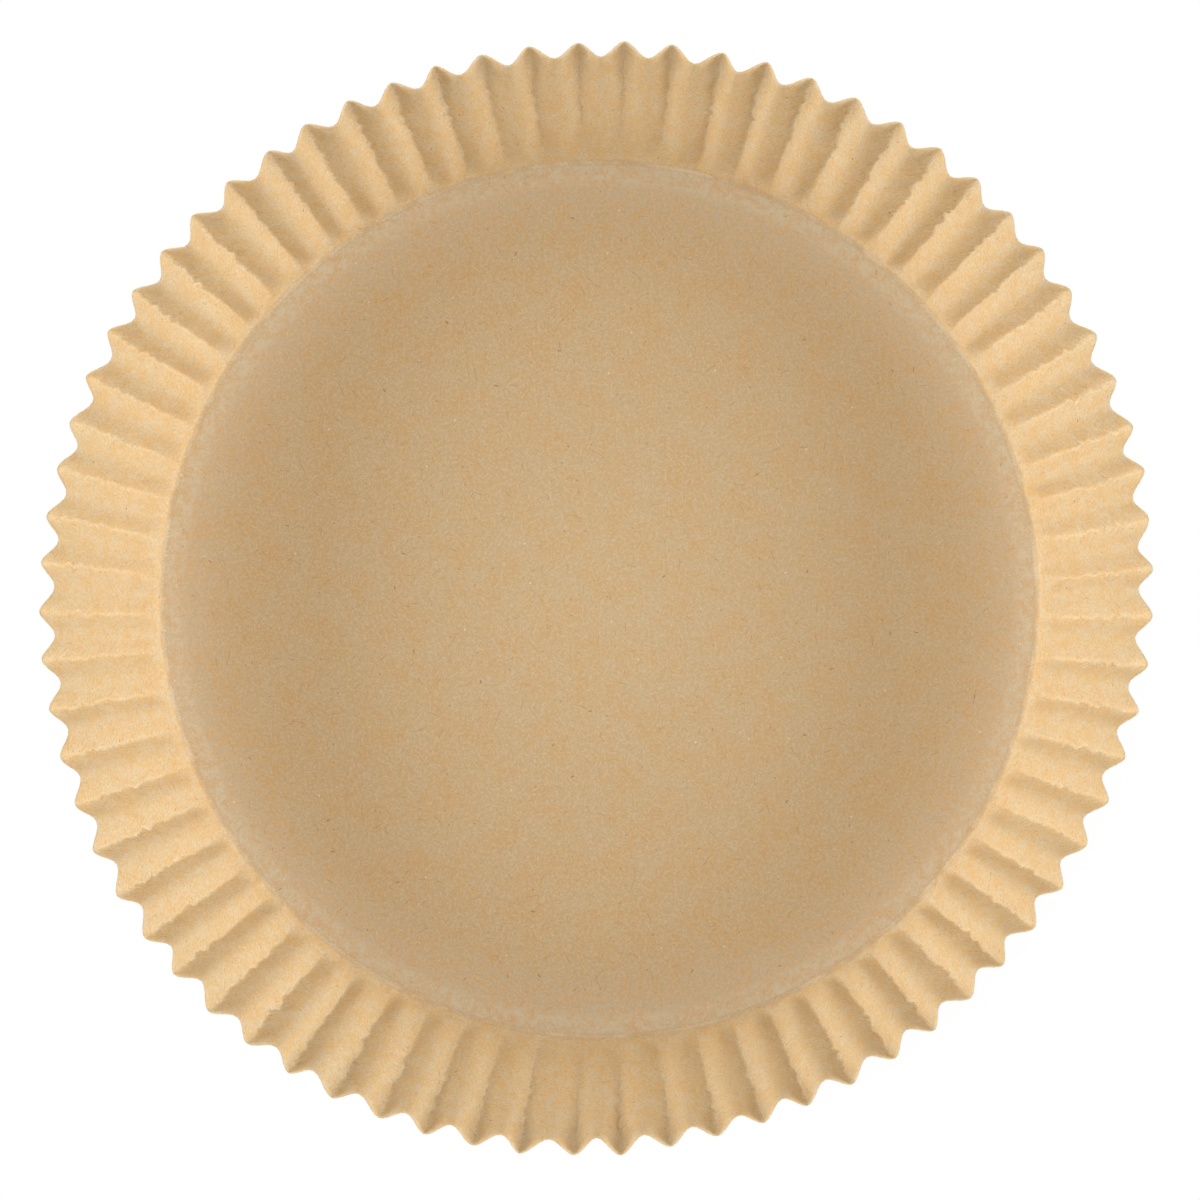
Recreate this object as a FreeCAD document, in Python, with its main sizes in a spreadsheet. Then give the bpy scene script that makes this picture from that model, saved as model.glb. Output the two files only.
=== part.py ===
import FreeCAD, Part
import math
import os
import Sketcher
from FreeCAD import Placement, Rotation, Vector

# An air fryer liner: one round blank of greaseproof paper, pressed into an open cup. It has a flat floor,
# a tight bend round the floor, a short plain band, and a wall of flutes that deepen up to the cut rim.
# Lengths are in millimetres, +Z is up, and the origin is at the centre of the floor's underside.
# All sizes but the bend's are those of the paper's outer face.
SIZES = {
    "floor_diameter": 160.0,  # where the floor's underside and the wall's mean line would meet
    "mean_rim_diameter": 197.4,  # midway between the folds and the ridges
    "rim_height": 44.4,  # of the mean rim
    "paper_thickness": 0.07,
    "bend_radius": 0.8,  # inside the cup
    "band_height": 1.6,
    "flute_count": 72,
    "flute_depth": 2.85,  # from fold to ridge at the rim, square to the wall
    "flute_growth": 0.55,  # power of the height that the depth grows with
    "fold_radius": 0.65,  # at the creases that stand out of the wall
    "ridge_radius": 1.2,  # between the creases
}
# Where the flute's sections are, as shares of the fluted wall's height. They are closest above the band,
# where the flutes deepen fastest.
SECTION_SHARES = (0.0625, 0.25, 0.5625, 1.0)
# Where the band's edge divides below a flute's ridges, flanks and fold, as shares of half the pitch.
BAND_SPLITS = (-1, -0.75, -0.1, 0.1, 0.75, 1)

# Sketcher's numbers for the ends and the centre of an edge, the sketch's origin and its first axis.
START, END, CENTRE = 1, 2, 3
ROOT = (-1, 1)
X_AXIS = -1

doc = FreeCAD.newDocument("air_fryer_liner")
sheet = doc.addObject("Spreadsheet::Sheet", "Sizes")
for row, (alias, value) in enumerate(SIZES.items(), start=1):
    sheet.set(f"A{row}", alias)
    sheet.set(f"B{row}", str(value))
    sheet.setAlias(f"B{row}", alias)
doc.recompute()

# Formulas in the sheet's names. The wall is a cone from the floor's edge to the mean rim.
WALL_RUN = "((Sizes.mean_rim_diameter - Sizes.floor_diameter) / 2)"
WALL_ANGLE = f"atan(Sizes.rim_height / {WALL_RUN})"
HALF_PITCH = "(180 / Sizes.flute_count)"
BAND_RADIUS = f"(Sizes.floor_diameter / 2 + Sizes.band_height / tan({WALL_ANGLE}))"
LEVEL_THICKNESS = f"(Sizes.paper_thickness / sin({WALL_ANGLE}))"

body = doc.addObject("PartDesign::Body", "Liner")
body.Label = "liner"
origin = {feature.Role: feature for feature in body.Origin.OriginFeatures}


def number(formula):
    """The value of a formula, in millimetres or degrees."""
    result = sheet.evalExpression(formula)
    return float(getattr(result, "Value", result))


def polar(radius, angle):
    return Vector(radius * math.cos(angle), radius * math.sin(angle), 0)


def arc(centre, radius, first, last):
    """An arc that runs anticlockwise from the first angle to the last."""
    return Part.ArcOfCircle(Part.Circle(centre, Vector(0, 0, 1), radius), first, last)


def new_sketch(name, plane):
    sketch = body.newObject("Sketcher::SketchObject", name)
    sketch.AttachmentSupport = (origin[plane], [""])
    sketch.MapMode = "FlatFace"
    return sketch


def tie(sketch, kind, *where):
    """Add a constraint that has no size."""
    sketch.addConstraint(Sketcher.Constraint(kind, *where))


def measure(sketch, kind, *where, formula):
    """Add a dimension, bound to its formula."""
    value = number(formula)
    if kind == "Angle":
        value = math.radians(value)
    index = sketch.addConstraint(Sketcher.Constraint(kind, *where, value))
    sketch.setExpression(f"Constraints[{index}]", formula)


def floor_section():
    """Half the section of the floor, the bend and the plain band, beside the axis."""
    sketch = new_sketch("FloorSection", "XZ_Plane")
    slope = math.radians(number(WALL_ANGLE))
    thickness = number("Sizes.paper_thickness")
    corner = Vector(number("Sizes.floor_diameter") / 2, 0, 0)
    inner_radius = number("Sizes.bend_radius")
    outer_radius = inner_radius + thickness
    centre = corner + Vector(-outer_radius * math.tan(slope / 2), outer_radius, 0)
    level = -math.pi / 2
    outer_arc = arc(centre, outer_radius, level, level + slope)
    inner_arc = arc(centre, inner_radius, level, level + slope)
    outer_top = Vector(number(BAND_RADIUS), number("Sizes.band_height"), 0)
    inner_top = outer_top - Vector(number(LEVEL_THICKNESS), 0, 0)
    axis_top = Vector(0, thickness, 0)
    underside, outer_bend, outer_band, edge, inner_band, inner_bend, upside, axis = sketch.addGeometry([
        Part.LineSegment(Vector(0, 0, 0), outer_arc.StartPoint),
        outer_arc,
        Part.LineSegment(outer_arc.EndPoint, outer_top),
        Part.LineSegment(outer_top, inner_top),
        Part.LineSegment(inner_top, inner_arc.EndPoint),
        inner_arc,
        Part.LineSegment(inner_arc.StartPoint, axis_top),
        Part.LineSegment(axis_top, Vector(0, 0, 0)),
    ])
    corner_point = sketch.addGeometry(Part.Point(corner), True)

    tie(sketch, "Coincident", underside, START, *ROOT)
    tie(sketch, "Horizontal", underside)
    tie(sketch, "Tangent", underside, END, outer_bend, START)
    tie(sketch, "Tangent", outer_bend, END, outer_band, START)
    tie(sketch, "Coincident", outer_band, END, edge, START)
    tie(sketch, "Horizontal", edge)
    tie(sketch, "Coincident", edge, END, inner_band, START)
    tie(sketch, "Parallel", inner_band, outer_band)
    tie(sketch, "Tangent", inner_band, END, inner_bend, END)
    tie(sketch, "Coincident", inner_bend, CENTRE, outer_bend, CENTRE)
    tie(sketch, "Tangent", inner_bend, START, upside, START)
    tie(sketch, "Horizontal", upside)
    tie(sketch, "Coincident", upside, END, axis, START)
    tie(sketch, "Vertical", axis)
    tie(sketch, "Coincident", axis, END, *ROOT)
    tie(sketch, "PointOnObject", corner_point, START, outer_band)
    tie(sketch, "PointOnObject", corner_point, START, X_AXIS)
    measure(sketch, "Distance", axis, formula="Sizes.paper_thickness")
    measure(sketch, "Radius", inner_bend, formula="Sizes.bend_radius")
    measure(sketch, "DistanceX", *ROOT, corner_point, START, formula="Sizes.floor_diameter / 2")
    measure(sketch, "DistanceX", *ROOT, outer_band, END, formula=BAND_RADIUS)
    measure(sketch, "DistanceY", *ROOT, outer_band, END, formula="Sizes.band_height")
    return sketch


def split_circle(sketch, formula, angles):
    """A chain of arcs on one circle about the axis; returns the ends that the angles divide it at."""
    radius = number(formula)
    chain = sketch.addGeometry([
        arc(Vector(0, 0, 0), radius, first, last) for first, last in zip(angles, angles[1:])
    ])
    for index in chain:
        tie(sketch, "Coincident", index, CENTRE, *ROOT)
    for index, following in zip(chain, chain[1:]):
        tie(sketch, "Coincident", index, END, following, START)
    measure(sketch, "Radius", chain[0], formula=formula)
    return [(chain[0], START)] + [(index, END) for index in chain]


def cut_edge(sketch, outer_end, inner_end, outer_point, inner_point):
    """The paper's thickness, where the plane between two flutes cuts it."""
    edge = sketch.addGeometry(Part.LineSegment(outer_point, inner_point))
    tie(sketch, "Coincident", edge, START, *outer_end)
    tie(sketch, "Coincident", edge, END, *inner_end)


def band_section():
    """One pitch of the band's level top edge, where a flute begins and still has no depth."""
    sketch = new_sketch("FluteSection0", "XY_Plane")
    sketch.AttachmentOffset = Placement(Vector(0, 0, number("Sizes.band_height")), Rotation())
    sketch.setExpression("AttachmentOffset.Base.z", "Sizes.band_height")
    angles = [math.radians(number(HALF_PITCH)) * share for share in BAND_SPLITS]
    outer_ends = split_circle(sketch, BAND_RADIUS, angles)
    inner_ends = split_circle(sketch, f"{BAND_RADIUS} - {LEVEL_THICKNESS}", angles)
    outer_radius = number(BAND_RADIUS)
    inner_radius = outer_radius - number(LEVEL_THICKNESS)
    for share, angle, outer_end, inner_end in zip(BAND_SPLITS, angles, outer_ends, inner_ends):
        spoke = sketch.addGeometry(Part.LineSegment(Vector(0, 0, 0), polar(outer_radius, angle)), True)
        tie(sketch, "Coincident", spoke, START, *ROOT)
        tie(sketch, "Coincident", spoke, END, *outer_end)
        tie(sketch, "PointOnObject", *inner_end, spoke)
        measure(sketch, "Angle", spoke, formula=f"{share} * {HALF_PITCH}")
    for place in (0, -1):
        outer_point = polar(outer_radius, angles[place])
        inner_point = polar(inner_radius, angles[place])
        cut_edge(sketch, outer_ends[place], inner_ends[place], outer_point, inner_point)
    return sketch


def flute_section(name, share):
    """One flute, cut square to the wall: a fold, two flanks, and half a ridge beyond each flank.

    The sketch's origin is where its plane meets the cup's axis, so the planes that part this flute from
    its neighbours show as two spokes, and each ridge is centred on one of them."""
    height = f"(Sizes.band_height + {share} * (Sizes.rim_height - Sizes.band_height))"
    radius = f"(Sizes.floor_diameter / 2 + {height} / tan({WALL_ANGLE}))"
    reach = f"{radius} / sin({WALL_ANGLE})"
    depth = f"Sizes.flute_depth * {share} ^ Sizes.flute_growth"
    fold_reach = f"{reach} + {depth} / 2 - Sizes.fold_radius"
    ridge_reach = f"{reach} - {depth} / 2 + Sizes.ridge_radius"
    spoke_angle = f"atan(sin({WALL_ANGLE}) * tan({HALF_PITCH}))"
    origin_height = f"{height} + {radius} / tan({WALL_ANGLE})"

    sketch = new_sketch(name, "XY_Plane")
    tilt = Rotation(Vector(0, 1, 0), 90 - number(WALL_ANGLE))
    sketch.AttachmentOffset = Placement(Vector(0, 0, number(origin_height)), tilt)
    sketch.setExpression("AttachmentOffset.Base.z", origin_height)
    sketch.setExpression("AttachmentOffset.Rotation.Angle", f"90 deg - {WALL_ANGLE}")

    spread = math.radians(number(spoke_angle))
    fold_centre = Vector(number(fold_reach), 0, 0)
    ridge_centres = {side: polar(number(ridge_reach), side * spread) for side in (1, -1)}
    across = ridge_centres[1] - fold_centre
    both_radii = number("Sizes.fold_radius + Sizes.ridge_radius")
    turn = math.atan2(across.y, across.x) - math.acos(both_radii / across.Length)

    spokes = {}
    for side, ridge_centre in ridge_centres.items():
        spokes[side] = sketch.addGeometry(Part.LineSegment(Vector(0, 0, 0), ridge_centre), True)
        tie(sketch, "Coincident", spokes[side], START, *ROOT)
    tie(sketch, "Symmetric", spokes[1], END, spokes[-1], END, X_AXIS)
    measure(sketch, "Distance", spokes[1], formula=ridge_reach)
    measure(sketch, "Angle", spokes[1], formula=spoke_angle)
    centre_point = sketch.addGeometry(Part.Point(fold_centre), True)
    tie(sketch, "PointOnObject", centre_point, START, X_AXIS)
    measure(sketch, "DistanceX", *ROOT, centre_point, START, formula=fold_reach)

    ends = {}
    points = {}
    for face, inset in (("outer", "0"), ("inner", "Sizes.paper_thickness")):
        fold_radius = f"Sizes.fold_radius - {inset}"
        ridge_radius = f"Sizes.ridge_radius + {inset}"
        fold = sketch.addGeometry(arc(fold_centre, number(fold_radius), -turn, turn))
        tie(sketch, "Coincident", fold, CENTRE, centre_point, START)
        measure(sketch, "Radius", fold, formula=fold_radius)
        ridges = []
        for side, ridge_centre in ridge_centres.items():
            flank_start = fold_centre + polar(number(fold_radius), side * turn)
            flank_end = ridge_centre - polar(number(ridge_radius), side * turn)
            flank = sketch.addGeometry(Part.LineSegment(flank_start, flank_end))
            first, last = sorted((math.pi + side * turn, math.pi + side * spread))
            ridge = sketch.addGeometry(arc(ridge_centre, number(ridge_radius), first, last))
            at_fold, at_flank, at_spoke = (END, END, START) if side == 1 else (START, START, END)
            tie(sketch, "Coincident", ridge, CENTRE, spokes[side], END)
            tie(sketch, "Tangent", flank, START, fold, at_fold)
            tie(sketch, "Tangent", flank, END, ridge, at_flank)
            tie(sketch, "PointOnObject", ridge, at_spoke, spokes[side])
            ends[face, side] = (ridge, at_spoke)
            points[face, side] = ridge_centre - polar(number(ridge_radius), side * spread)
            ridges.append(ridge)
        measure(sketch, "Radius", ridges[0], formula=ridge_radius)
        tie(sketch, "Equal", *ridges)
    for side in (1, -1):
        outer, inner = ("outer", side), ("inner", side)
        cut_edge(sketch, ends[outer], ends[inner], points[outer], points[inner])
    return sketch


floor_sketch = floor_section()
flute_sketches = [band_section()]
for place, share in enumerate(SECTION_SHARES, start=1):
    flute_sketches.append(flute_section(f"FluteSection{place}", share))
doc.recompute()

floor = body.newObject("PartDesign::Revolution", "Floor")
floor.Profile = floor_sketch
floor.ReferenceAxis = (floor_sketch, ["V_Axis"])
floor.Angle = 360

flute = body.newObject("PartDesign::AdditiveLoft", "Flute")
flute.Profile = flute_sketches[0]
flute.Sections = flute_sketches[1:]
flute.Ruled = True
flute.Refine = False

flutes = body.newObject("PartDesign::PolarPattern", "Flutes")
flutes.Originals = [flute]
flutes.Axis = (origin["Z_Axis"], [""])
flutes.Angle = 360
flutes.setExpression("Occurrences", "Sizes.flute_count")
flutes.Refine = False
body.Tip = flutes
doc.recompute()

for item in doc.Objects:
    if "Invalid" in item.State or "Error" in item.State:
        raise RuntimeError(f"{item.Name} failed: {item.State}")
for sketch in [floor_sketch] + flute_sketches:
    if sketch.DoF:
        raise RuntimeError(f"{sketch.Name} is free to move in {sketch.DoF} ways")
if body.Shape.isNull() or not body.Shape.isValid() or len(body.Shape.Solids) != 1:
    raise RuntimeError("the liner isn't one sound solid")
# The flutes only meet each other and the band, so their volumes add up.
expected = floor.Shape.Volume + flutes.Occurrences * flute.AddSubShape.Volume
if abs(body.Shape.Volume - expected) > 1e-5 * expected:
    raise RuntimeError(f"the liner holds {body.Shape.Volume} mm3 of paper, not {expected}")

os.makedirs("parts", exist_ok=True)
body.Shape.exportStep(f"parts/{body.Label}.step")
box = body.Shape.optimalBoundingBox(False)
print(f"{body.Label}: {body.Shape.Volume:.1f} mm3, {len(body.Shape.Faces)} faces, "
      f"{box.XLength:.2f} x {box.YLength:.2f} x {box.ZLength:.2f} mm")
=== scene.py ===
"""A fluted air fryer liner of brown greaseproof paper, standing open on a pale table."""

import math

import bpy
import numpy as np
from mathutils import Matrix, Vector


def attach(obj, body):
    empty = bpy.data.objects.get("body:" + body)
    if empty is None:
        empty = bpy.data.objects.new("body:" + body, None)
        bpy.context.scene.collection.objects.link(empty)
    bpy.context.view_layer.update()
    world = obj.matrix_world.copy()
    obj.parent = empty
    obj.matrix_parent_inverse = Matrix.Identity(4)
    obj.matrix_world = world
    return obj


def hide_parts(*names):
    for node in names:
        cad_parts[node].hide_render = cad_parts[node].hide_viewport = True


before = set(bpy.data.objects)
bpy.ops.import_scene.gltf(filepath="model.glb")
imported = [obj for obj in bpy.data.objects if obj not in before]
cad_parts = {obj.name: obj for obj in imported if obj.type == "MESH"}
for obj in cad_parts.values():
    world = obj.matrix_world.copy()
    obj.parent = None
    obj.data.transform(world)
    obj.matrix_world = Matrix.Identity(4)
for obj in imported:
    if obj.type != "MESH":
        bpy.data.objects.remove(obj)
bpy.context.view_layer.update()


# ---- The liner -----------------------------------------------------------------------------
# One round blank of thin greaseproof paper, pressed hot into a shallow cup. The press leaves a
# flat floor with a slightly curled edge, and gathers the wall's spare paper into flutes, which
# are creased at their outer folds and soft at their inner ridges.
mm = 0.001
flutes = 72
paper = 0.07 * mm
rim_radius = 98.7 * mm  # midway between the folds and the ridges
rim_height = 44.4 * mm
wall_slope = math.radians(67.16)
half_depth = 1.10 * mm  # from the wall's mean line to a fold or a ridge
flute_onset = 3.6 * mm
rim_flare = 0.45 * mm
curl_width = 17 * mm
curl_height = 0.75 * mm
bend_half = 0.80 * mm

wall_length = (rim_height - curl_height) / math.sin(wall_slope)
bend_at = rim_radius - wall_length * math.cos(wall_slope)
blank_radius = bend_at + wall_length * 1.02  # a little to spare

# Places round one flute, as shares of the way from a fold to the next, closer at the creases.
flute_places = np.array([0, 0.04, 0.1, 0.2, 0.3, 0.4, 0.5, 0.6, 0.7, 0.8, 0.9, 0.96])
columns = flutes * len(flute_places)

# Rings of points from the floor's middle to the rim: how far each is along the paper, in mm, and
# how many columns lie between its points. Those of the wall are closest half way up.
floor_rings = [(6, 42, 7, 9), (46.5, 74, 9, 3)]  # first, last, number of rings, columns between
rings = [
    np.column_stack([np.linspace(first, last, number), np.full(number, gap)])
    for first, last, number, gap in floor_rings
]
edge_runs = bend_at / mm + np.array([-3.6, -2.1, -1.1, -0.5, -0.2, 0.05, 0.3, 0.65])
wall_foot = 1.3
wall_rings = np.linspace(0, 1, 43)
wall_rings = wall_rings + 0.035 * np.sin(2 * np.pi * wall_rings)
wall_runs = bend_at / mm + wall_foot + (wall_length / mm - wall_foot) * wall_rings
rings += [np.column_stack([runs, np.ones(len(runs))]) for runs in (edge_runs, wall_runs)]
rings = np.vstack(rings)
ring_runs = rings[:, 0] * mm
ring_steps = rings[:, 1].astype(int)


def eased(value, start=0.0, span=1.0):
    """0 up to start and 1 from a span beyond it, with 3t² - 2t³ between them."""
    t = np.clip((value - start) / span, 0, 1)
    return t * t * (3 - 2 * t)


def meridian(run):
    """Radius, height and slope of the paper at a distance along it from the middle of the floor.
    The slope is 0 on the floor, grows in a straight line over the curl and is eased up to the
    wall's across the bend. Radius and height are the sums of its cosine and its sine."""
    fine = np.linspace(0, blank_radius, 6000)
    curl = np.clip((fine - bend_at + curl_width) / curl_width, 0, 1) * 2 * curl_height / curl_width
    slope = curl + (wall_slope - curl) * eased(fine - bend_at, -bend_half, 2 * bend_half)
    step = fine[1]
    radius = np.cumsum(np.cos(slope)) * step - step
    height = np.cumsum(np.sin(slope)) * step
    return [np.interp(run, fine, values) for values in (radius, height, slope)]


def lattice(across, along, cells_across, seed):
    """Smooth random numbers from -1 to 1: one for each point of a lattice that closes round
    `across`, with 3t² - 2t³ easing between neighbours. A unit of either input is one cell."""
    rng = np.random.default_rng(seed)
    values = rng.uniform(-1, 1, (cells_across, int(along.max()) + 3))
    a, b = np.floor(across).astype(int), np.floor(along).astype(int)
    u, v = eased(across - a), eased(along - b)
    near = values[a % cells_across, b] * (1 - v) + values[a % cells_across, b + 1] * v
    far = values[(a + 1) % cells_across, b] * (1 - v) + values[(a + 1) % cells_across, b + 1] * v
    return near * (1 - u) + far * u


def flute_wave(place, crispness):
    """1 at the folds, -1 at the ridge between them. A cosine, mixed with straight flanks that
    meet sharply at the fold and are rounded into a parabola over the ridge."""
    flank_end = 0.16
    steepness = 2 / (0.25 + flank_end / 2)
    x = np.minimum(place, 1 - place)
    straight = 1 - steepness * x
    rounded = -1 + steepness * (0.5 - x) ** 2 / (2 * (0.5 - flank_end))
    crisp = np.where(x < flank_end, straight, rounded)
    cosine = np.cos(2 * np.pi * x)
    return cosine + (crisp - cosine) * crispness


# Each fold and ridge has its own small errors of angle and depth, and its own height of edge.
# Each flute starts a little way above the bend, furthest on the side at 235 degrees.
angle_error, depth_error = math.radians(0.13), 0.06
rng = np.random.default_rng(72)
fold_turn, ridge_turn = rng.normal(0, angle_error, (2, flutes))
fold_depth, ridge_depth = 1 + rng.normal(0, depth_error, (2, flutes))
fold_start = rng.uniform(0.1, 1.9, flutes) * mm
from_late_side = np.arange(flutes) * 2 * np.pi / flutes - math.radians(235)
fold_start += 0.9 * mm * np.maximum(np.cos(from_late_side), 0) ** 2
edge_error = rng.normal(0, 0.13, flutes) * mm

column = np.arange(columns)
fold = column // len(flute_places)
place = np.tile(flute_places, flutes)
nearest = np.where(place <= 0.5, fold, (fold + 1) % flutes)
from_fold = 2 * np.minimum(place, 1 - place)  # 0 at a fold, 1 at a ridge


def between(at_folds, at_ridges):
    """A value for each column, in a straight line from the nearest fold's to the ridge's."""
    return at_folds[nearest] * (1 - from_fold) + at_ridges[fold] * from_fold


flat_angle = (fold + place) * 2 * np.pi / flutes
turn = between(fold_turn, ridge_turn)
depth = between(fold_depth, ridge_depth)

run = np.broadcast_to(ring_runs[:, None], (len(ring_runs), columns))
up_wall = np.maximum(run - bend_at, 0) * (1 + between(edge_error, np.zeros(flutes)) / wall_length)
share = up_wall / wall_length
round_bend = flat_angle * bend_at + run * 0


def bend_noise(cell, along, seed):
    """Lattice noise round the bend, in the whole number of cells that comes nearest to a size."""
    return lattice(round_bend / cell, along, round(2 * np.pi * bend_at / cell), seed)


# The bend isn't a true circle: it wanders in and out by a fraction of a millimetre, which dies
# away within 5 mm on the floor and half way up the wall.
wander = 0.14 * bend_noise(4.2 * mm, run * 0, 22) + 0.16 * bend_noise(1.4 * mm, run * 0, 23)
wander *= mm * eased(run - bend_at, -5 * mm, 5 * mm) * (1 - eased(share, 0, 0.5))
radius, height, slope = meridian(np.minimum(run, bend_at) + up_wall - wander)
radius = radius + wander

# Creases stray sideways in small jogs, most of all half way up, and are dented at the knots.
jog_size = (0.24 + 0.34 * eased(share, 0.35, 0.3)) * mm * eased(share, 0, 0.3)
jog_size *= 1 - 0.85 * eased(share, 0.75, 0.2)
row_flute = np.broadcast_to(nearest, run.shape)
jog = lattice(row_flute, up_wall / (2.3 * mm), flutes, 11)
jog += 0.5 * lattice(row_flute, up_wall / (1.2 * mm), flutes, 12)
knot = lattice(row_flute, up_wall / (2.0 * mm), flutes, 13)

# Each crease also has one longer kink near its middle: a short wave that dies away both ways.
kink_rng = np.random.default_rng(31)
kink_at = kink_rng.uniform(0.46, 0.68, flutes)[nearest] * wall_length
kink_length = kink_rng.uniform(4.6, 6.6, flutes)[nearest] * mm
kink_size = kink_rng.uniform(0.1, 0.55, flutes) * kink_rng.choice([-1, 1], flutes)
kink_reach = 2.6 * mm
from_kink = up_wall - kink_at
kink = kink_size[nearest] * mm * np.sin(2 * np.pi * from_kink / kink_length)
kink *= np.exp(-(from_kink / kink_reach) ** 2)

# The wall is also twisted by a fraction of a degree, one way on one side and back on the other.
near_fold = (1 - from_fold) ** 2
twist = np.cos(flat_angle - math.radians(325)) * (0.35 + 0.45 * share)
angle = flat_angle + np.radians(twist) * eased(share, 0, 0.1)
angle += turn * eased(share, 0, 0.15) + (jog * jog_size + kink) * near_fold / radius

# Most of a flute's depth comes within a few millimetres of the bend, though the front's and the
# back's stay shallower over the lower half, and the rim flares.
rise = np.maximum(up_wall - between(fold_start, fold_start), 0)
body = half_depth * (1 - np.exp(-rise / flute_onset)) * eased(rise, 0, 1.5 * mm)
slack = 1 - 0.22 * np.sin(angle) ** 4 * (1 - eased(share, 0.55, 0.4))
amplitude = body * slack + rim_flare * share ** 6
crispness = 0.3 + 0.55 * eased(share, 0, 0.5) - 0.75 * eased(share, 0.72, 0.28)
out = amplitude * depth * flute_wave(place, crispness)

# Knots dent the creases, and soft dents cover the flanks: two sizes, in cells round the cup.
knot_depth, dent_depth = 0.10 * mm, 0.09 * mm
out -= knot_depth * (knot > 0.2) * knot * near_fold ** 3 * eased(share, 0, 0.3)
turns = angle / (2 * np.pi)
dent = lattice(turns * 2 * flutes, up_wall / (6 * mm), 2 * flutes, 14)
dent += 0.5 * lattice(turns * 4 * flutes, up_wall / (2.6 * mm), 4 * flutes, 15)
out += dent_depth * dent * eased(share, 0, 0.1)

# The rim leans out of round, as a limp cup does: lobes, size in mm, and one lobe's direction.
slump = share ** 1.5
for lobes, size, direction in ((2, 1.31, 42.7), (3, 0.37, 12.4), (4, 0.20, 46.1)):
    radius = radius + size * mm * slump * np.cos(lobes * (angle - math.radians(direction)))

# The floor isn't quite flat: low waves cross it in many directions.
wave_height = 0.012 * mm
x, y = radius * np.cos(angle), radius * np.sin(angle)
wave_rng = np.random.default_rng(5)
for wave in range(10):
    heading = wave_rng.uniform(0, 2 * np.pi)
    length = wave_rng.uniform(14, 40) * mm
    phase = wave_rng.uniform(0, 2 * np.pi)
    swell = np.sin((x * np.cos(heading) + y * np.sin(heading)) * 2 * np.pi / length + phase)
    height = height + wave_height * (1 + swell) * (1 - eased(share, 0, 0.05))

lift = paper / 2
sheet = np.stack([x + out * np.sin(slope) * np.cos(angle),
                  y + out * np.sin(slope) * np.sin(angle),
                  height + lift - out * np.cos(slope)], axis=-1)


def outward(points):
    """Unit normals of a grid that closes round its columns: the difference of the neighbours
    round the ring, crossed with that along the paper."""
    around = np.roll(points, -1, axis=1) - np.roll(points, 1, axis=1)
    along = np.gradient(points, axis=0)
    normal = np.cross(around, along)
    return normal / np.linalg.norm(normal, axis=-1, keepdims=True)


def bands_of_faces(numbers, steps):
    """The faces between each ring and the next, one array for each pair. Rings with the same
    points are joined by four-sided faces; where the inner one has a third of the points, three
    outer edges meet one inner edge."""
    bands = []
    for inner, outer, inner_step, outer_step in zip(numbers, numbers[1:], steps, steps[1:]):
        here = inner[::inner_step]
        parts = inner_step // outer_step
        beyond = outer[::outer_step]
        edge = [np.roll(beyond, -k)[::parts] for k in range(parts + 1)]
        bands.append(np.column_stack([here, np.roll(here, -1), *edge[::-1]]))
    return bands


# The paper's two faces lie half a thickness either side of the sheet. Fans of triangles close
# the middle of the floor, and a band of faces closes the cut edge.
kept = column % ring_steps[:, None] == 0
numbers = np.full(kept.shape, -1)
numbers[kept] = np.arange(kept.sum()) + 1
middle_height = lift + 0.02 * mm
places = np.vstack([[[0, 0, middle_height]], sheet[kept]])
normals = np.vstack([[[0, 0, -1]], outward(sheet)[kept]])
count = len(places)

hub = numbers[0][:: ring_steps[0]]
brim = numbers[-1]
fan = np.column_stack([np.zeros_like(hub), np.roll(hub, -1), hub])
one_face = bands_of_faces(numbers, ring_steps) + [fan]
cut_edge = np.column_stack([brim, np.roll(brim, -1), np.roll(brim, -1) + count, brim + count])
bands = one_face + [band[:, ::-1] + count for band in one_face] + [cut_edge]

mesh = bpy.data.meshes.new("paper_liner")
mesh.from_pydata(np.vstack([places + normals * paper / 2, places - normals * paper / 2]), [],
                 [corners for band in bands for corners in band.tolist()])
smooth = np.ones(len(mesh.polygons), dtype=bool)
smooth[-len(cut_edge):] = False
mesh.polygons.foreach_set("use_smooth", smooth)


def on_points(grid, at_middle):
    """A grid's kept values for every point of both faces of the sheet."""
    one_side = np.concatenate([[at_middle], grid[kept]])
    return np.concatenate([one_side, one_side]).astype(np.float32)


# The blank's own map: each point where it lay when the paper was flat.
blank_width = 2 * blank_radius
flat_x = on_points(run * np.cos(flat_angle) / blank_width + 0.5, 0.5)
flat_y = on_points(run * np.sin(flat_angle) / blank_width + 0.5, 0.5)
corner_point = np.empty(len(mesh.loops), dtype=np.int32)
mesh.loops.foreach_get("vertex_index", corner_point)
blank_map = mesh.uv_layers.new(name="blank")
blank_map.uv.foreach_set("vector", np.stack([flat_x, flat_y], -1)[corner_point].ravel())

# Where the press has strained the paper: fibres whitened along the bend, a line that is also
# painted as a highlight; a band ironed smooth inside the floor's edge; the creased folds, whose
# paler colour is partly painted light; and the lean of the flanks that meet at each of them,
# with the distance in millimetres from it. A fold stands up on the paper's one side and sinks
# in on the other, so there its lean has the other sign.
patchy = bend_noise(2.4 * mm, run / (1.6 * mm), 21)
bend_line = np.exp(-((run - bend_at + 0.5 * mm) / (0.7 * mm)) ** 2) * (0.7 + 0.35 * patchy)
ironed = eased(run - bend_at, -19 * mm, 17 * mm) * (1 - eased(run - bend_at, -0.8 * mm, 0.8 * mm))
creased = eased(1 - from_fold) * eased(share, 0.1, 0.3)
off_fold = np.where(place > 0.5, place - 1, place) * 2 * np.pi / flutes * radius / mm
fold_lean = 0.55 * eased(share, 0.05, 0.35) * (1 - eased(share, 0.9, 0.1))
fold_lean = fold_lean * (1 - eased(from_fold, 0.1, 0.65))
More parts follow.
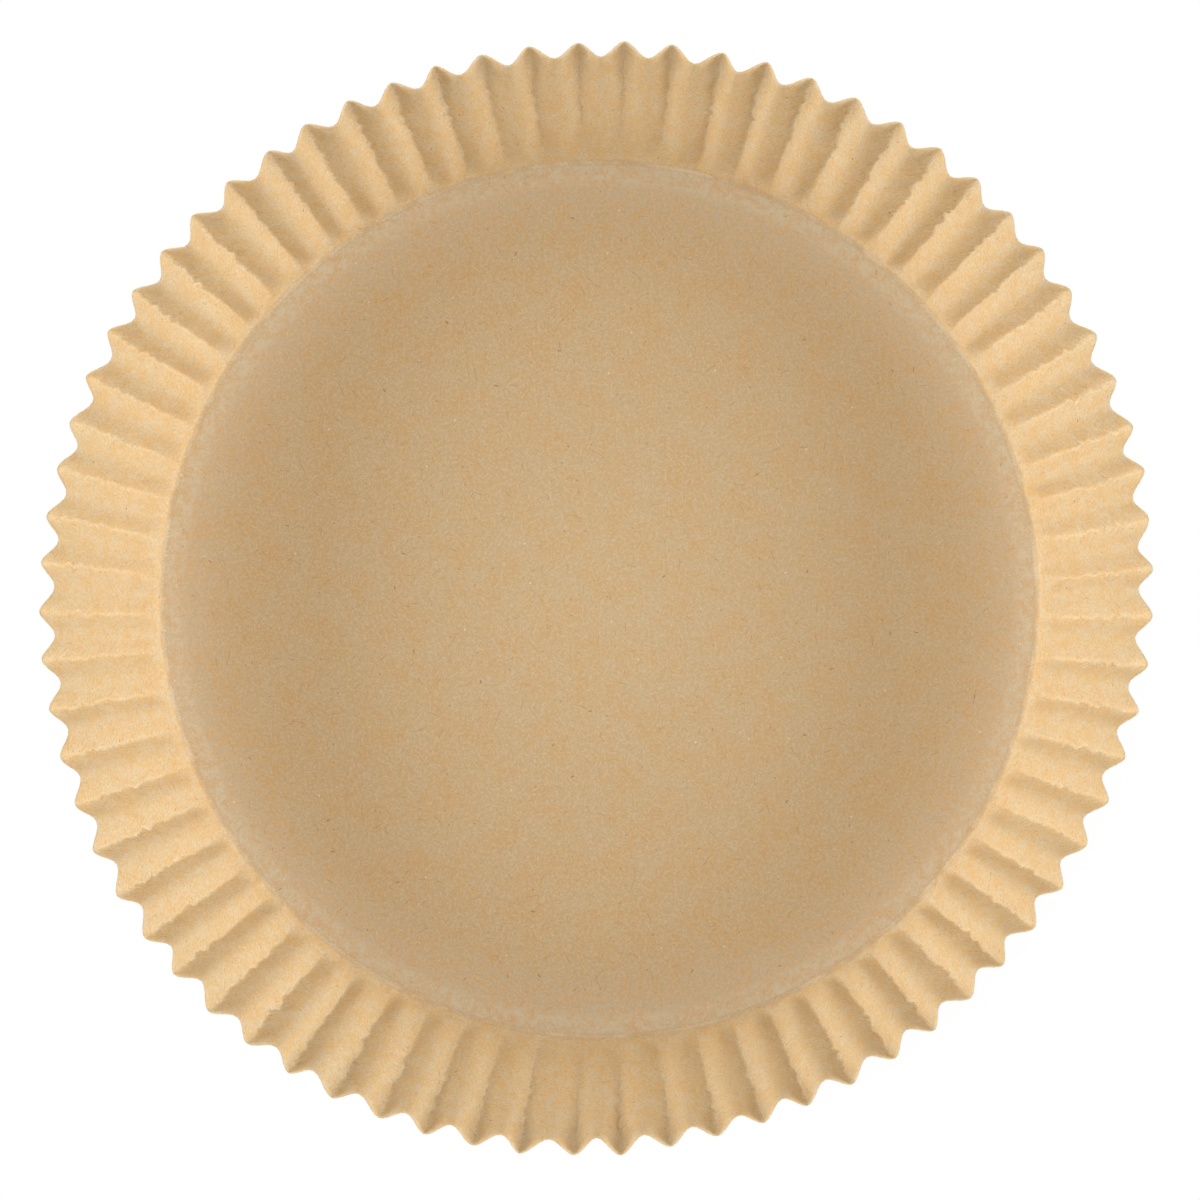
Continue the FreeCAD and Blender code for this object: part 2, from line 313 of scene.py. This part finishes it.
for name, grid, other_side in (("strained", bend_line, 1), ("ironed", ironed, 1),
                               ("creased", creased, 1), ("off_fold", off_fold, 1),
                               ("fold_lean", fold_lean, -1)):
    values = mesh.attributes.new(name, "FLOAT", "POINT")
    values.data.foreach_set("value", on_points(grid, 0.0) * np.repeat([other_side, 1], count))
mesh.update()


class Wire:
    """A shader socket to calculate with. Each sum or product written with it adds a Math node."""

    def __init__(self, shader, socket):
        self.shader, self.socket = shader, socket

    def maths(self, operation, *terms):
        return self.shader.node("Math", {"operation": operation}, dict(enumerate(terms)))

    def __add__(self, other):
        return self.maths("ADD", self, other)

    def __sub__(self, other):
        return self.maths("SUBTRACT", self, other)

    def __rsub__(self, other):
        return self.maths("SUBTRACT", other, self)

    def __mul__(self, other):
        return self.maths("MULTIPLY", self, other)

    def __lt__(self, other):
        return self.maths("LESS_THAN", self, other)

    def __abs__(self):
        return self.maths("ABSOLUTE", self)

    __radd__ = __add__
    __rmul__ = __mul__


class Shader:
    """The nodes of a material or the world, with a way to add each kind of node in one line."""

    def __init__(self, owner):
        owner.use_nodes = True
        self.owner, self.tree = owner, owner.node_tree
        self.tree.nodes.clear()

    def node(self, kind, settings=None, sockets=None, output=0):
        """Adds a node, makes its settings, then gives its sockets their values or links."""
        made = self.tree.nodes.new("ShaderNode" + kind)
        for name, value in (settings or {}).items():
            setattr(made, name, value)
        for name, value in (sockets or {}).items():
            if isinstance(value, Wire):
                self.tree.links.new(value.socket, made.inputs[name])
            else:
                made.inputs[name].default_value = value
        return Wire(self, made.outputs[output]) if made.outputs else None

    def outputs(self, wire, *names):
        """Other outputs of the node that a wire comes from."""
        return [Wire(self, wire.socket.node.outputs[name]) for name in names]

    def mixed(self, share, first, second):
        """Two colours mixed by a share of the second."""
        return self.node("Mix", {"data_type": "RGBA"}, {0: share, 6: first, 7: second}, 2)

    def vector(self, operation, first, second):
        return self.node("VectorMath", {"operation": operation}, {0: first, 1: second})

    def scaled(self, vector, factor):
        return self.node("VectorMath", {"operation": "SCALE"}, {0: vector, "Scale": factor})

    def ramp(self, value, low, high):
        """0 below low and 1 above high, eased between; falling if low is the larger."""
        return self.node("MapRange", {"interpolation_type": "SMOOTHSTEP"},
                         {0: value, 1: low, 2: high})

    def noise(self, place, size, detail, roughness, distortion=0.0):
        """Soft noise from 0 to 1 whose largest lumps are about `size` across."""
        return self.node("TexNoise", {"noise_dimensions": "3D"},
                         {"Vector": place, "Scale": 1 / size, "Detail": detail,
                          "Roughness": roughness, "Distortion": distortion})

    def strands(self, place, cell, length, width, share):
        """Fibres: each cell of a Voronoi pattern holds one short line, turned at random and bowed
        by up to a seventh of its length. The mask is 1 within half a width of the line and half
        a length of its middle, and only a share of the cells keep theirs."""
        spread = self.scaled(place, 1 / cell)
        middle = self.node("TexVoronoi", {"voronoi_dimensions": "2D", "feature": "F1"},
                           {"Vector": spread, "Scale": 1.0, "Randomness": 1.0}, "Position")
        chance, = self.outputs(middle, "Color")
        turn, keep, bow = self.parted("SeparateColor", chance)
        from_middle = self.vector("SUBTRACT", spread, middle)
        turned = self.node("VectorRotate", {"rotation_type": "Z_AXIS"},
                           {"Vector": self.scaled(from_middle, cell), "Angle": turn * math.tau})
        along, across, _ = self.parted("SeparateXYZ", turned)
        bent = across + along * along * (bow - 0.5) * (1.2 / length)
        thin = self.ramp(abs(bent), width * 0.75, width * 0.15)
        short = self.ramp(abs(along), length * 0.5, length * 0.3)
        return thin * short * (keep < share)

    def parted(self, kind, whole):
        """The three parts of a vector or a colour."""
        return self.outputs(self.node(kind, {}, {0: whole}), 0, 1, 2)


# Unbleached kraft pulp, beaten and pressed smooth until grease can't pass, is a cloudy tan, with
# felted pale and brown fibres, a few dark shives and specks, and a dull shine.
warm_pulp, grey_pulp = (0.606, 0.365, 0.131, 1), (0.585, 0.406, 0.192, 1)
thin_pulp = (0.57, 0.468, 0.286, 1)
honey, straw = (0.87, 0.58, 0.22, 1), (0.87, 0.77, 0.54, 1)
# The two fold colours are paler than the pulp: partly whitened and worn fibres, partly painted
# light on the folds.
whitened_and_lit_fold, worn_and_highlit_fold = (0.90, 0.68, 0.37, 1), (0.93, 0.75, 0.46, 1)
pores = (0.42, 0.25, 0.09, 1)
# The frosted and the frayed colour are partly painted sheen and painted highlight.
ironed_pulp, frosted_sheen_pulp = (0.46, 0.37, 0.23, 1), (0.79, 0.70, 0.48, 1)
frayed_highlight_pulp = (0.88, 0.78, 0.58, 1)

kraft = Shader(bpy.data.materials.new("greaseproof_paper"))
flat_place = kraft.scaled(kraft.node("UVMap", {"uv_map": "blank"}), blank_width / mm)
solid_place = kraft.scaled(kraft.node("TexCoord", {}, {}, "Object"), 1 / mm)
strain, iron, crease, off, lean = [
    kraft.node("Attribute", {"attribute_name": name}, {}, "Fac")
    for name in ("strained", "ironed", "creased", "off_fold", "fold_lean")]

# The ground is cloudy on a scale of millimetres. The wall is veined with honey and straw, and
# painted paler than the floor: painted light, standing in for light that the thin paper lets
# through and that its walls throw on each other.
cloud = kraft.noise(solid_place, 6.5, 3.0, 0.55)
blotch = kraft.noise(flat_place, 1.9, 3.0, 0.7)
grain = kraft.noise(flat_place, 0.44, 2.0, 0.7, 0.8)
tan = kraft.mixed(kraft.ramp(cloud, 0.32, 0.68), warm_pulp, grey_pulp)
tan = kraft.mixed(kraft.ramp(blotch, 0.3, 0.7) * 0.46, tan, thin_pulp)
on_wall = kraft.ramp(kraft.parted("SeparateXYZ", solid_place)[2], 0.7, 1.6)
drawn_up = kraft.vector("MULTIPLY", solid_place, (1, 1, 0.3))
veins = kraft.noise(drawn_up, 2.1, 3.0, 0.72)
veined = kraft.mixed(kraft.ramp(veins, 0.36, 0.64), honey, straw)
# Painted light: paler round the folds, partly fibres whitened by creasing, partly lifting the shade
# in the fold valleys and brightening the lit folds.
tan = kraft.mixed(crease * 0.48, tan, whitened_and_lit_fold)
# Painted light: the wall's paler colour stands in for light through the thin paper and between the
# walls.
tan = kraft.mixed(on_wall * 0.38, tan, veined)
tan = kraft.mixed(kraft.ramp(grain, 0.28, 0.72) * 0.38, tan, pores)

# Felted fibres, fine to coarse: cell, length, width in mm, share of cells, colour, strength.
felt = (
    (0.9, 0.9, 0.14, 1.0, (0.74, 0.61, 0.42, 1), 0.32),
    (0.8, 0.8, 0.14, 1.0, (0.42, 0.24, 0.08, 1), 0.34),
    (1.5, 1.3, 0.14, 0.8, (0.44, 0.25, 0.09, 1), 0.38),
    (2.0, 1.9, 0.15, 0.8, (0.76, 0.64, 0.44, 1), 0.20),
    (5.0, 2.0, 0.14, 0.5, (0.34, 0.15, 0.03, 1), 0.5),
    (3.1, 0.40, 0.22, 0.11, (0.30, 0.11, 0.02, 1), 0.7),
    (6.0, 0.85, 0.22, 0.08, (0.22, 0.08, 0.01, 1), 0.8),
    (7.5, 0.40, 0.28, 0.12, (0.88, 0.80, 0.68, 1), 0.6),
    (16.0, 3.6, 0.13, 0.30, (0.30, 0.13, 0.02, 1), 0.5),
)
for layer, (cell, length, width, share_kept, colour, strength) in enumerate(felt):
    moved = kraft.vector("ADD", flat_place, (layer * 37.0, layer * 53.0, 0))
    strand = kraft.strands(moved, cell, length, width, share_kept)
    tan = kraft.mixed(strand * strength, tan, colour)

# Fine crepe wrinkles run round the wall, and make the folds ragged: a fold that is moved aside
# by `stray` differs from the straight one by the lean of its flanks times |off - stray| - |off|.
crepe = kraft.noise(kraft.vector("MULTIPLY", solid_place, (0.4, 0.4, 1.6)), 1.0, 2.0, 0.6) - 0.5
stray = crepe * 1.2
off_stray = abs(off - stray)
moved_fold = (off_stray - abs(off)) * lean
on_fold = kraft.ramp(off_stray, 0.5, 0.05) * abs(lean)

# The press wears the folds pale, darkens the ironed band, frosts that band's outer edge, and
# frays the fibres along the bend. Each pale mark is partly painted light: a painted highlight
# along the folds and along the bend, and a painted sheen at the band's outer edge.
# Painted highlight: a pale line along each fold, partly wear, partly the highlight that a sharp
# fold catches.
tan = kraft.mixed(on_fold * 0.55, tan, worn_and_highlit_fold)
tan = kraft.mixed(iron * kraft.ramp(blotch, 0.35, 0.65) * 0.4, tan, ironed_pulp)
# Painted sheen: pale patches at the ironed band's outer edge, partly frosted fibres, partly the
# gloss of the curled edge.
frost_and_sheen = kraft.ramp(iron, 0.88, 1.0) * kraft.ramp(blotch + grain * 0.7, 0.7, 1.05)
# Painted highlight: a pale ragged line along the bend, partly frayed fibres, partly the highlight
# of the bend.
frayed_and_highlit = kraft.ramp(strain * 0.8 + grain * 1.3, 0.95, 1.55)
tan = kraft.mixed(frost_and_sheen * 0.32, tan, frosted_sheen_pulp)
tan = kraft.mixed(frayed_and_highlit * 0.42, tan, frayed_highlight_pulp)
relief = crepe * 0.02 + (grain - 0.5) * (strain * 0.06 + 0.045) + moved_fold
bumps = kraft.node("Bump", {}, {"Strength": 1.0, "Distance": mm, "Height": relief})
pressed_pulp = kraft.node("BsdfPrincipled", {}, {
    "Base Color": tan, "Roughness": kraft.ramp(strain, 0.0, 0.6) * 0.1 + 0.75,
    "IOR": 1.65, "Specular IOR Level": 1.0,
    "Coat Weight": iron * iron, "Coat Roughness": 0.6, "Coat IOR": 1.6,
    "Normal": bumps})
kraft.node("OutputMaterial", {}, {"Surface": pressed_pulp})
mesh.materials.append(kraft.owner)

liner = bpy.data.objects.new("paper_liner", mesh)
bpy.context.scene.collection.objects.link(liner)
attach(liner, "root")
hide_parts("liner")


# ---- The studio ----------------------------------------------------------------------------
# A white table that runs out of sight under a white sky, with eight softboxes round the liner
# and a dim round one over it. The table and the sky look white to the eye and in gloss, but
# light the liner only as much as they are lit; the table keeps a soft shadow near the liner.
reach = 12  # metres
table_mesh = bpy.data.meshes.new("table")
table_mesh.from_pydata([(-reach, -reach, 0), (reach, -reach, 0), (reach, reach, 0),
                        (-reach, reach, 0)], [], [(0, 1, 2, 3)])
table = bpy.data.objects.new("table", table_mesh)
bpy.context.scene.collection.objects.link(table)
pure_white, chalk = (1, 1, 1, 1), (0.85, 0.85, 0.85, 1)


def seen(shader):
    """1 where a ray comes from the camera or from gloss or glass, 0 where it only carries light."""
    eye_ray, glossy_ray, glass_ray = shader.outputs(
        shader.node("LightPath"), "Is Camera Ray", "Is Glossy Ray", "Is Transmission Ray")
    return eye_ray + glossy_ray + glass_ray


table_top = Shader(bpy.data.materials.new("table_top"))
table_place = table_top.node("TexCoord", {}, {}, "Object")
away = table_top.node("VectorMath", {"operation": "LENGTH"}, {0: table_place}, "Value")
whiteness = seen(table_top) * (table_top.ramp(away, 0.07, 0.105) * 0.4 + 0.6)
lit = table_top.node("BsdfDiffuse", {}, {"Color": chalk})
white = table_top.node("Emission", {}, {"Strength": 1.0})
table_mix = table_top.node("MixShader", {}, {0: whiteness, 1: lit, 2: white})
table_top.node("OutputMaterial", {}, {"Surface": table_mix})
table_mesh.materials.append(table_top.owner)

sky = Shader(bpy.data.worlds.new("surround"))
dim_sky = sky.node("Background", {}, {"Color": pure_white, "Strength": 0.05})
white_sky = sky.node("Background", {}, {"Color": pure_white, "Strength": 1.0})
sky_mix = sky.node("MixShader", {}, {0: seen(sky), 1: dim_sky, 2: white_sky})
sky.node("OutputWorld", {}, {"Surface": sky_mix})
bpy.context.scene.world = sky.owner

# Eight softboxes, an eighth of a turn apart: degrees above the table, height in metres, watts.
view_turn = math.radians(-2.29)
lamp_distance, softbox_width = 3.0, 2.49
at_side, at_corner, at_end = (30, 1.4, 71.5), (24, 0.8, 15), (24, 0.8, 1.5)
for number, (rise, tall, watts) in enumerate((at_side, at_corner, at_end, at_corner) * 2):
    lamp = bpy.data.lights.new("softbox", "AREA")
    lamp.shape = "RECTANGLE"
    lamp.size, lamp.size_y = softbox_width, tall
    lamp.energy = watts
    turned_to, raised = math.radians(45 * number) + view_turn, math.radians(rise)
    stand = bpy.data.objects.new("softbox", lamp)
    stand.location = lamp_distance * Vector((math.cos(raised) * math.cos(turned_to),
                                             math.cos(raised) * math.sin(turned_to),
                                             math.sin(raised)))
    stand.rotation_euler = (-stand.location).to_track_quat("-Z", "Y").to_euler()
    stand.visible_camera = False
    bpy.context.scene.collection.objects.link(stand)
ceiling = bpy.data.lights.new("ceiling", "AREA")
ceiling.shape = "DISK"
ceiling.size = 3.2
ceiling.energy = 11
overhead = bpy.data.objects.new("ceiling", ceiling)
overhead.location = (0, 0, lamp_distance)
overhead.visible_camera = False
bpy.context.scene.collection.objects.link(overhead)

camera = bpy.data.cameras.new("camera")
camera.sensor_width = 36
camera.lens = 410.6
eye = bpy.data.objects.new("camera", camera)
bpy.context.scene.collection.objects.link(eye)
bpy.context.scene.camera = eye

# It hangs over the liner, a little towards the lower right, with its own right-hand side turned
# to view_turn.
eye_distance = 2.5
aimed_at = Vector((0.13, -0.13, 0)) * mm
back = Vector((0.0179, -0.0129, 1))
right = Vector((math.cos(view_turn), math.sin(view_turn), 0))
eye_place = aimed_at + back * eye_distance
back.normalize()
up = back.cross(right).normalized()
right = up.cross(back)
turned = Matrix((right, up, back)).transposed().to_4x4()
eye.matrix_world = Matrix.Translation(eye_place) @ turned

bpy.context.scene.view_settings.view_transform = "Standard"
